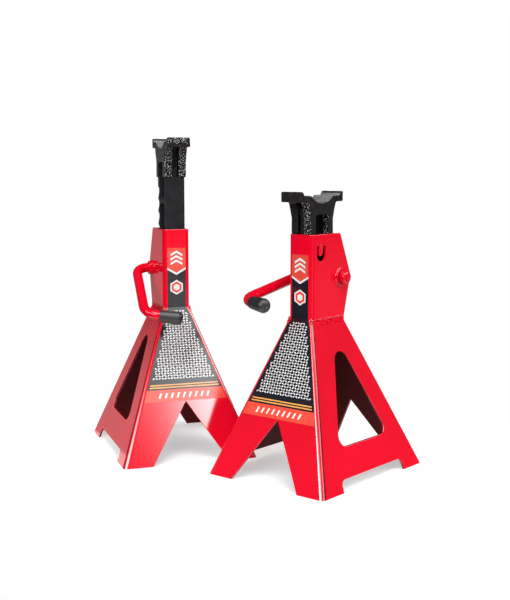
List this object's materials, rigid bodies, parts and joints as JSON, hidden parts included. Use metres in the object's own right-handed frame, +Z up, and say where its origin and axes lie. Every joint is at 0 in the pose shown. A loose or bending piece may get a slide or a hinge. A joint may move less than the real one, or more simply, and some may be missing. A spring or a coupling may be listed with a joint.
{
  "type": "axle jack stands",
  "caption": "Ratcheting axle jack stands: flared red sheet-steel bases, toothed black cast bars with dished saddles, and cranked pawl handles with rubber grips.",
  "frame": {"origin": "on the floor, under the middle of the pair's bounding box", "axes": "+X across the pair towards the right stand's right side, +Y to the right stand's rear, +Z up"},
  "size_m": [0.5064, 0.3018, 0.4681],
  "materials": {
    "red_paint": "gloss enamel",
    "black_cast": "semi-gloss black paint over a sand-cast surface",
    "grip_rubber": "satin moulded",
    "pin_steel": "plain",
    "label_film": "semi-gloss film"
  },
  "bodies": {
    "right_stand": {"right_column_shell": "red_paint", "right_column_rear_plate": "red_paint", "right_base_shell": "red_paint", "right_base_rear_panel": "red_paint", "right_seam_welds": "red_paint", "right_upper_guide": "red_paint", "right_lower_guide": "red_paint", "right_shaft_bush": "red_paint", "right_shaft_washer": "red_paint", "right_front_label": "label_film"},
    "right_bar": {"right_ratchet_bar": "black_cast"},
    "right_handle": {"right_handle_rod": "red_paint", "right_handle_grip": "grip_rubber", "right_shaft_cap": "red_paint", "right_pawl": "black_cast", "right_pawl_pin": "pin_steel"},
    "left_stand": {"left_column_shell": "red_paint", "left_column_rear_plate": "red_paint", "left_base_shell": "red_paint", "left_base_rear_panel": "red_paint", "left_seam_welds": "red_paint", "left_upper_guide": "red_paint", "left_lower_guide": "red_paint", "left_shaft_bush": "red_paint", "left_shaft_washer": "red_paint", "left_front_label": "label_film"},
    "left_bar": {"left_ratchet_bar": "black_cast"},
    "left_handle": {"left_handle_rod": "red_paint", "left_handle_grip": "grip_rubber", "left_shaft_cap": "red_paint", "left_pawl": "black_cast", "left_pawl_pin": "pin_steel"}
  },
  "joints": [
    {"name": "right_bar_lift", "type": "slide", "parent": "right_stand", "child": "right_bar", "axis": [0, 0, 1], "range_m": [0, 0.228]},
    {"name": "right_handle_lift", "type": "hinge", "parent": "right_stand", "child": "right_handle", "pos_m": [0.1532, 0.05616, 0.2725], "axis": [-1, 0, 0], "range_deg": [-15, 15]},
    {"name": "left_stand_shift", "type": "slide", "parent": "right_stand", "child": "left_stand", "axis": [-1, 0, 0], "range_m": [0, 0.3]},
    {"name": "left_bar_lift", "type": "slide", "parent": "left_stand", "child": "left_bar", "axis": [0, 0, 1], "range_m": [-0.076, 0.152]},
    {"name": "left_handle_lift", "type": "hinge", "parent": "left_stand", "child": "left_handle", "pos_m": [-0.12289, 0.00831, 0.2725], "axis": [-0.521, -0.8536, 0], "range_deg": [0, 30]}
  ]
}
